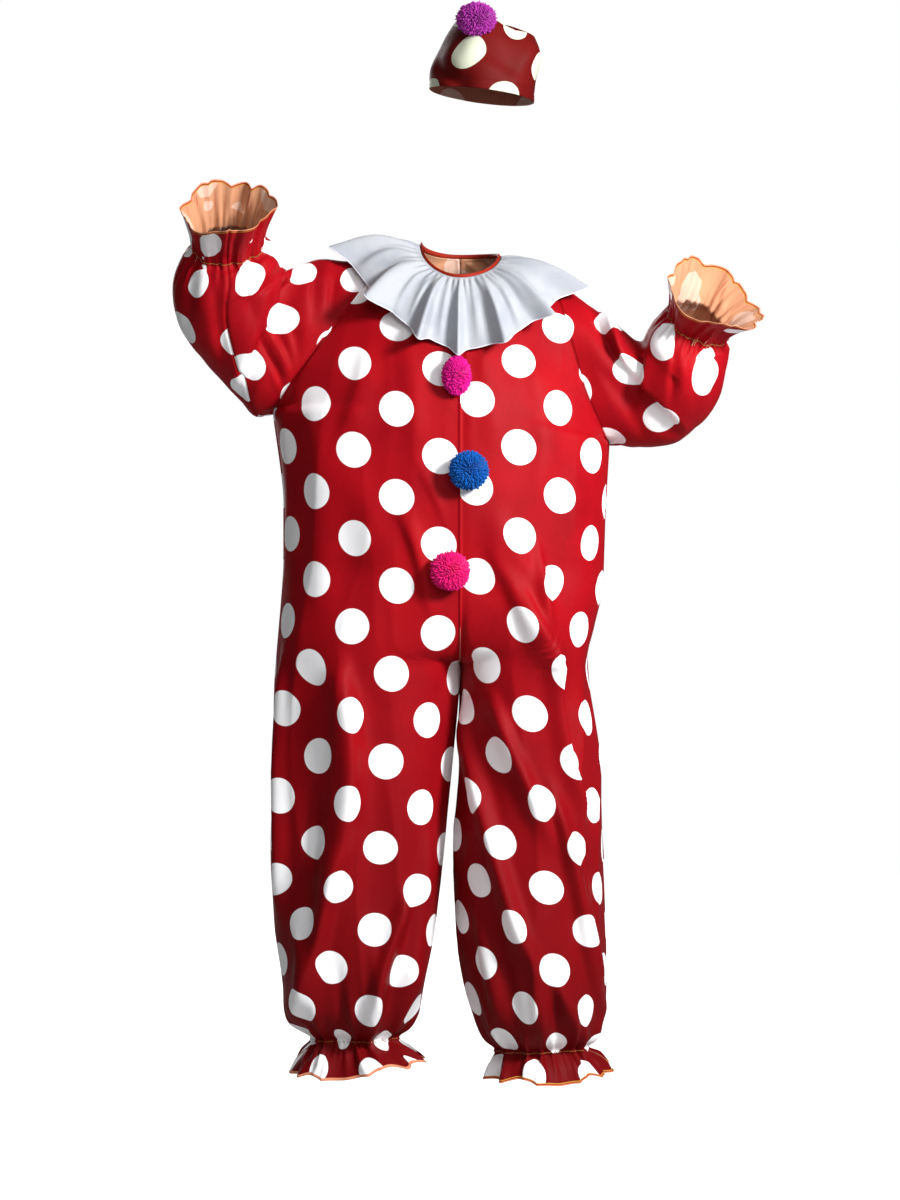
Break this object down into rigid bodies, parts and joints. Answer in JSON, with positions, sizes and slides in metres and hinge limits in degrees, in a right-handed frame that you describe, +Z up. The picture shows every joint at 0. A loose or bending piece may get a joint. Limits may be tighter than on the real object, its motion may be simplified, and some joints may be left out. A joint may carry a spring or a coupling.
{
  "type": "clown costume",
  "caption": "Loose one-piece clown suit with white polka dots, ruffled collar, yarn pom-poms and frilled wrists and ankles, with its small dotted hat.",
  "frame": {"origin": "the centre of the wearer's neck, level with the neckline at the shoulders", "axes": "+Z up along the wearer, -Y the way the wearer faces, +X to the wearer's left"},
  "size_m": [0.9665, 0.3963, 1.7523],
  "materials": {
    "dotted_cloth": "thin woven satin-faced polyester in bright red, printed with 59 mm white dots in staggered rows",
    "collar_cloth": "thin plain white woven cloth with an overlocked edge",
    "neck_binding": "narrow dull red bias tape",
    "hat_cloth": "the suit's dotted cloth in darker red with pale dots, over a soft stiffener",
    "magenta_yarn": "cut magenta yarn",
    "blue_yarn": "cut blue yarn",
    "pink_yarn": "cut hot pink yarn",
    "purple_yarn": "cut purple yarn"
  },
  "bodies": {
    "root": {"front_right": "dotted_cloth", "front_left": "dotted_cloth", "back_right": "dotted_cloth", "back_left": "dotted_cloth", "sleeve_right": "dotted_cloth", "sleeve_left": "dotted_cloth", "collar": "collar_cloth", "neck_binding": "neck_binding", "hat_side": "hat_cloth", "hat_top": "hat_cloth", "pompom_top": "magenta_yarn", "pompom_middle": "blue_yarn", "pompom_bottom": "pink_yarn", "pompom_hat": "purple_yarn"}
  },
  "joints": []
}
